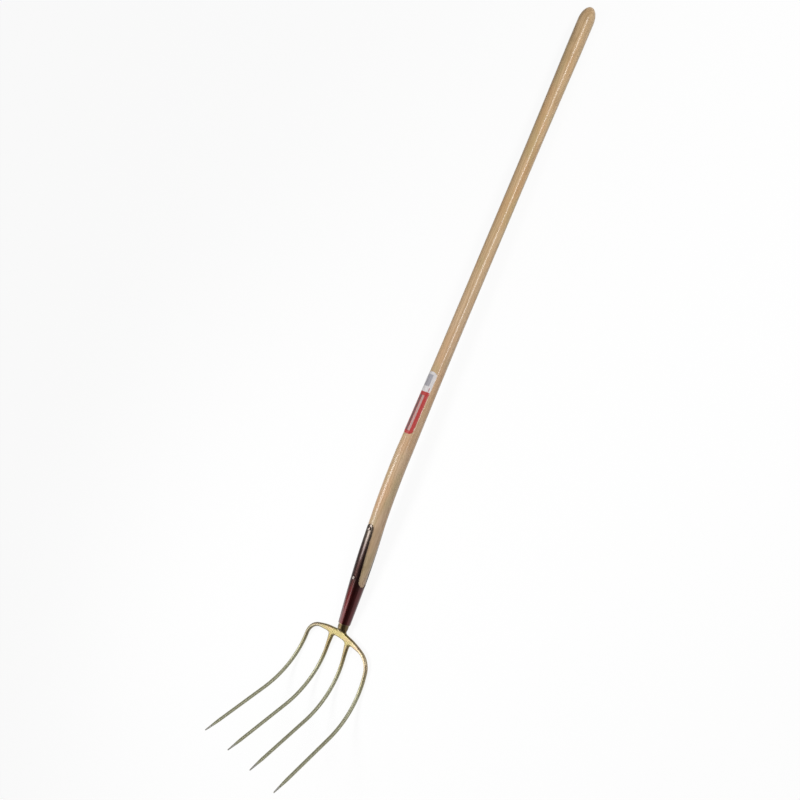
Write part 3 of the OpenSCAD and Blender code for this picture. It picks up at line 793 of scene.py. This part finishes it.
build_handle()
build_head()
build_socket()
rivet = maroon_enamel("rivet_steel", crown=True)
low_at = GAP_LOW + LOWER_RIVET_UP
build_rivet("lower_rivet_heads", "lower_rivet", low_at, float(ogive_r(low_at)), rivet)
build_rivet("upper_rivet_heads", "upper_rivet", STRAP_TOP - UPPER_RIVET_IN, SOCKET_R, rivet)
build_label()


# Studio: white floor and backdrop, a dark room above the camera, two soft boxes and a card
def grey(level):
    return (level, level, level)


def build_floor():
    """White to the camera and in reflections, with the object's shadow, and darker as a bounce."""
    half, z = FLOOR_HALF, FLOOR_Z
    mesh = bpy.data.meshes.new("floor")
    corners = [(-half, -half, z), (half, -half, z), (half, half, z), (-half, half, z)]
    mesh.from_pydata(corners, [], [(0, 1, 2, 3)])
    floor = add_object("floor", mesh)
    material = bpy.data.materials.new("floor")
    material.use_nodes = True
    n = Nodes(material.node_tree)
    seen = n.seen()
    colour = n.mix(seen, grey(FLOOR_BOUNCE), grey(FLOOR_SEEN))
    matt = n.add("ShaderNodeBsdfDiffuse", Color=colour)
    glow = n.add("ShaderNodeEmission", Color=grey(1.0), Strength=1.0)
    both = n.add("ShaderNodeMixShader")
    n.put(both.inputs[0], n.math("MULTIPLY", seen, FLOOR_GLOW))
    n.link(matt.outputs[0], both.inputs[1])
    n.link(glow.outputs[0], both.inputs[2])
    n.end(both)
    mesh.materials.append(material)


def build_world():
    """White to the camera, a dim studio in reflections, and an even level for matt surfaces."""
    world = bpy.data.worlds.new("studio")
    bpy.context.scene.world = world
    world.use_nodes = True
    n = Nodes(world.node_tree)
    _, y, z = n.split(n.add("ShaderNodeTexCoord").outputs["Generated"])
    turn = n.math("ARCTAN2", z, n.math("MULTIPLY", y, -1.0))
    room = n.ramp(n.math("DIVIDE", turn, math.pi), *((at, grey(level)) for at, level in SKY))
    path = n.add("ShaderNodeLightPath").outputs
    shown = n.mix(path["Is Camera Ray"], room, grey(1.0))
    level = n.mix(n.seen(), grey(AMBIENT), shown)
    n.end(n.add("ShaderNodeBackground", Color=level), "ShaderNodeOutputWorld")


def stand(obj, right, up, back, at):
    """Puts a lamp or the camera at a place, with its axes."""
    obj.matrix_world = Matrix([list(row) for row in zip(right, up, back, at)] + [[0, 0, 0, 1]])


def soft_box(name, at, aim, width, height, power, spread=180):
    """Area lamp at a place, turned to an aim, with its width along X."""
    data = bpy.data.lights.new(name, "AREA")
    data.shape, data.size, data.size_y, data.energy = "RECTANGLE", width, height, power
    data.spread = math.radians(spread)
    lamp = add_object(name, data)
    back = np.array(at) - np.array(aim)
    back /= np.linalg.norm(back)
    right = np.array([1.0, 0, 0]) - back[0] * back
    right /= np.linalg.norm(right)
    stand(lamp, right, np.cross(back, right), back, at)
    lamp.visible_camera = False
    return lamp


def build_camera():
    data = bpy.data.cameras.new("camera")
    data.sensor_width, data.lens = CAMERA_SENSOR, CAMERA_LENS
    data.shift_x, data.shift_y = -SHIFT_PX / PHOTO_PX, SHIFT_PX / PHOTO_PX
    camera = add_object("camera", data)
    stand(camera, CAMERA_RIGHT, CAMERA_UP, CAMERA_BACK, CAMERA_AT)
    bpy.context.scene.camera = camera


build_floor()
build_world()
soft_box("soft_box_above", at=(-0.70, 0.84, 1.80), aim=(-0.58, 0, 0.03), width=0.96, height=0.8,
         power=4.6, spread=70)
soft_box("soft_box_front", at=(0.95, -1.62, 1.20), aim=(0.62, 0, 0), width=2.0, height=0.34,
         power=11.0, spread=100)
# A white card behind the tines, for their reflections alone
card = soft_box("white_card", at=(-2.1, 1.33, 1.01), aim=(-2.1, 0.55, 0.03), width=1.6, height=2.8,
                power=48)
card.visible_diffuse = False
build_camera()
bpy.context.scene.view_settings.view_transform = "Standard"
